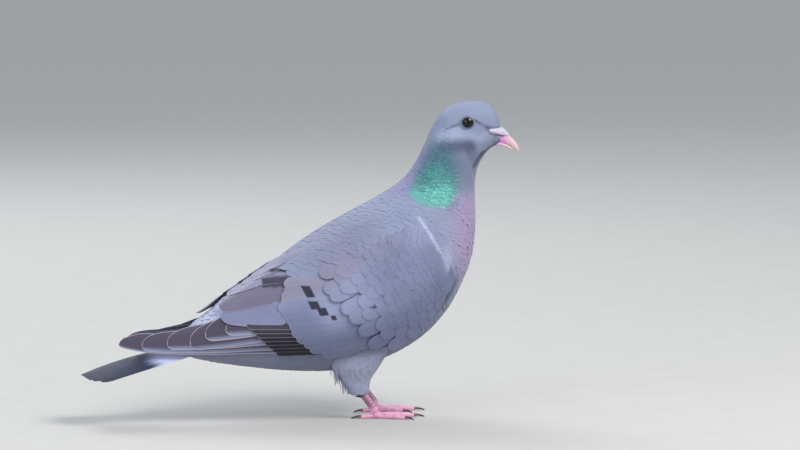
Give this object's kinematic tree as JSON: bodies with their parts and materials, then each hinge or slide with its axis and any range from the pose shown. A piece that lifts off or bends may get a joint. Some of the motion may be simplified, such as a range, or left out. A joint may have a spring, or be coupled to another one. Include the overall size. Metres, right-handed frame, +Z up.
{
  "type": "stock dove",
  "caption": "Life-size standing stock dove, a blue-grey pigeon, with its head held high and turned to its right, wings folded, tail closed and feet bare.",
  "frame": {"origin": "floor level, under the middle of the box that the bird fills", "axes": "+X forward, from tail to breast; +Y to the bird's left; +Z up"},
  "size_m": [0.2834, 0.1, 0.2014],
  "materials": {
    "head_plumage": "matt",
    "neck_plumage": "soft sheen",
    "body_plumage": "matt",
    "rump_plumage": "matt",
    "wing_coverts": "matt",
    "flight_feathers": "matt",
    "tail_feathers": "matt",
    "bill": "satin",
    "cere": "matt",
    "eye": "wet gloss",
    "leg_skin": "satin",
    "claw": "satin"
  },
  "bodies": {
    "root": {"head": "head_plumage", "neck": "neck_plumage", "trunk": "body_plumage", "thigh_left": "body_plumage", "thigh_right": "body_plumage", "rump": "rump_plumage", "wing_left_coverts": "wing_coverts", "wing_left_secondaries": "flight_feathers", "wing_left_primaries": "flight_feathers", "eye_left": "eye", "tarsus_left": "leg_skin", "toe_left_middle": "leg_skin", "claw_left_middle": "claw", "toe_left_inner": "leg_skin", "claw_left_inner": "claw", "toe_left_outer": "leg_skin", "claw_left_outer": "claw", "toe_left_hind": "leg_skin", "claw_left_hind": "claw", "wing_right_coverts": "wing_coverts", "wing_right_secondaries": "flight_feathers", "wing_right_primaries": "flight_feathers", "eye_right": "eye", "tarsus_right": "leg_skin", "toe_right_middle": "leg_skin", "claw_right_middle": "claw", "toe_right_inner": "leg_skin", "claw_right_inner": "claw", "toe_right_outer": "leg_skin", "claw_right_outer": "claw", "toe_right_hind": "leg_skin", "claw_right_hind": "claw", "tail": "tail_feathers", "bill_upper": "bill", "bill_lower": "bill", "cere": "cere"}
  },
  "joints": []
}
